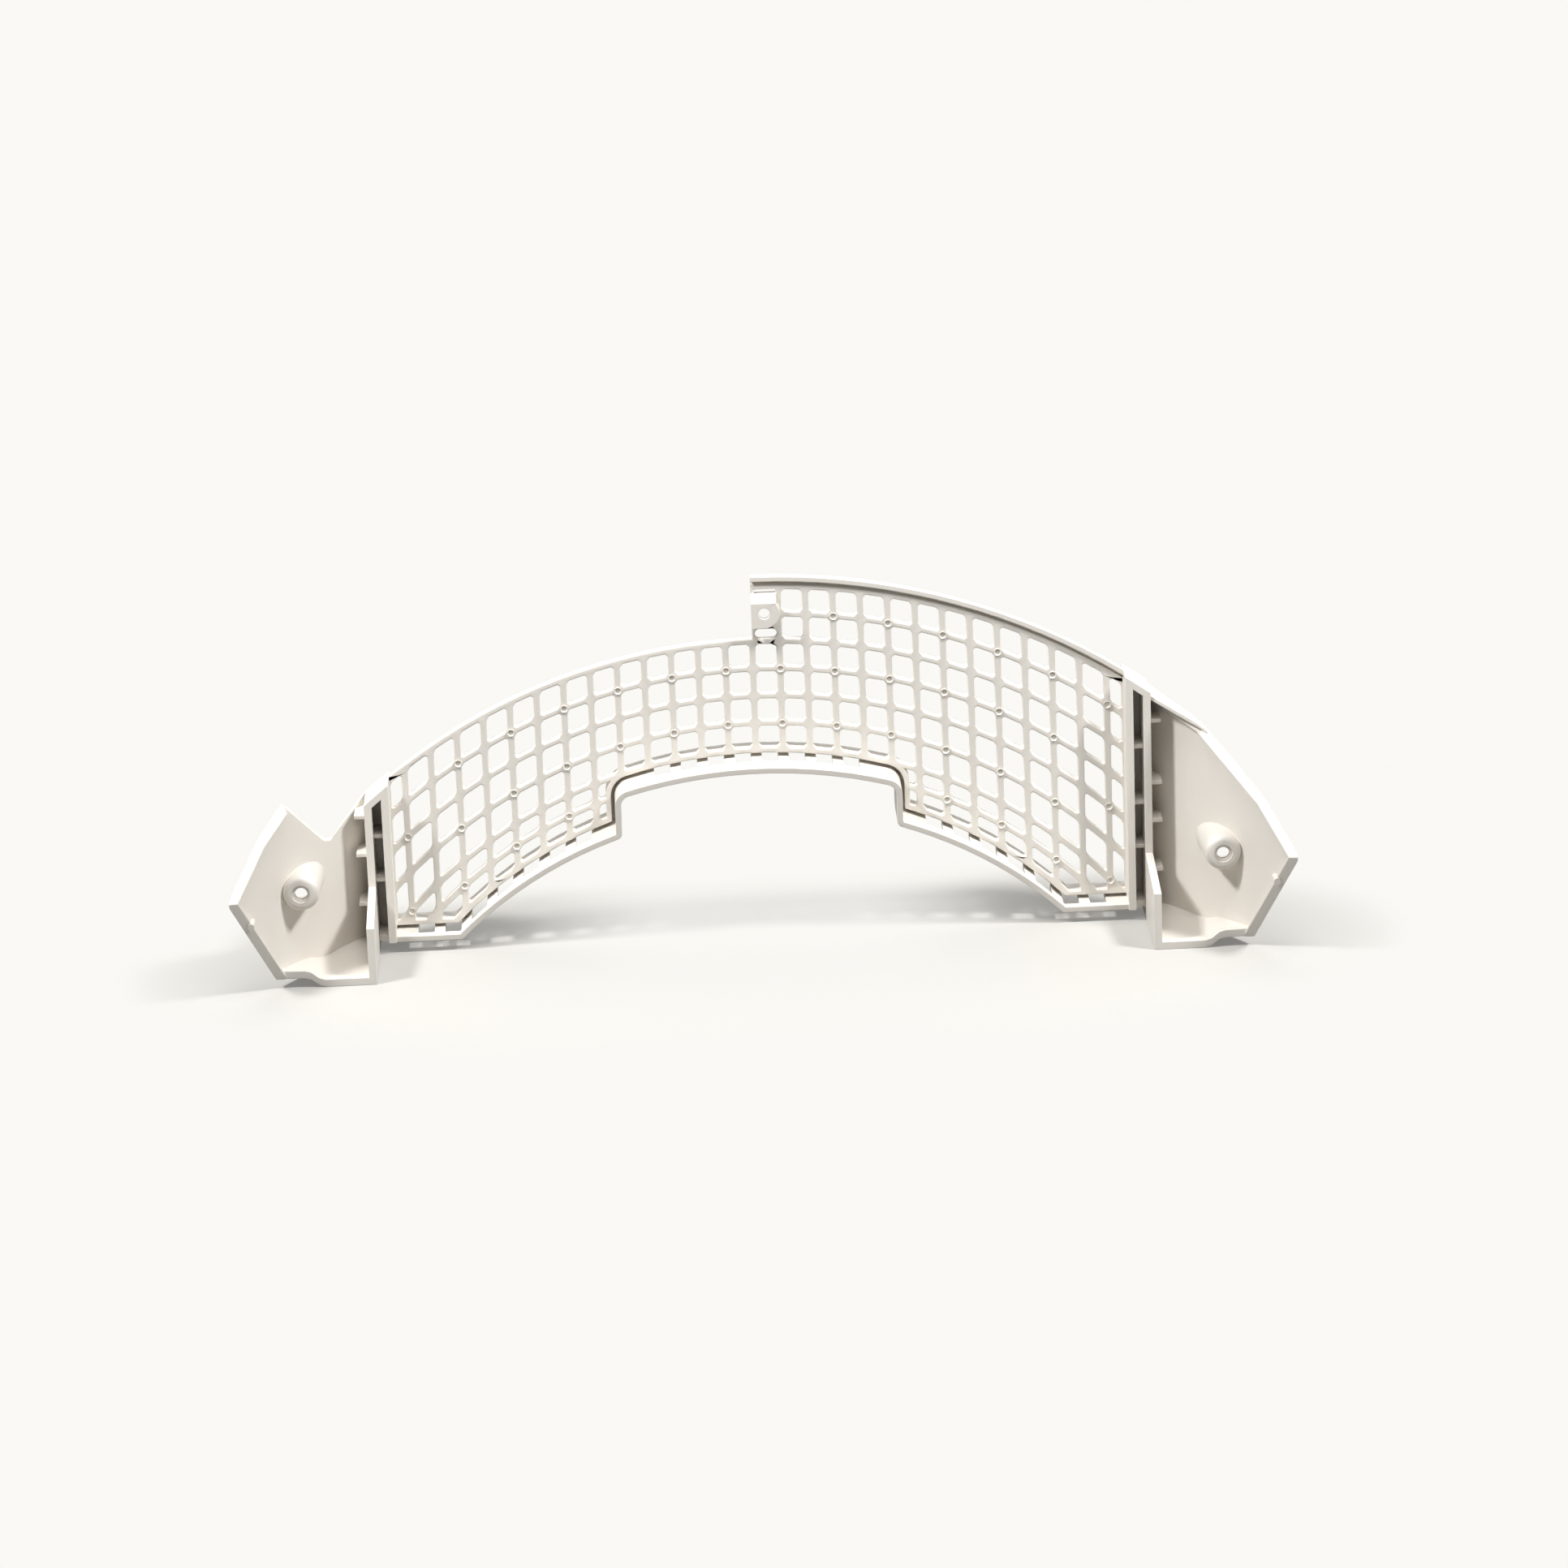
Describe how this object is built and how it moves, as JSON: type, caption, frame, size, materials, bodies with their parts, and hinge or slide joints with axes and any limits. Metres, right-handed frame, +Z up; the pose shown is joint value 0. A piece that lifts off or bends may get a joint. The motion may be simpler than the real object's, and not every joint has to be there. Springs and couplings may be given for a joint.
{
  "type": "dryer lint filter guide",
  "caption": "Arched plastic guide for a dryer's lint filter, with a barred air grille, a notched lower rim and two slanted wings with screw bosses and feet.",
  "frame": {"origin": "on the floor under the feet, below the middle of the bounding box", "axes": "+X to the right seen from the side with the screw bosses, +Y away from that side through the grille, +Z up"},
  "size_m": [0.4432, 0.0838, 0.1573],
  "materials": {
    "guide_plastic": "satin, warm off-white, lightly textured moulding"
  },
  "bodies": {
    "root": {"filter_guide": "guide_plastic"}
  },
  "joints": []
}
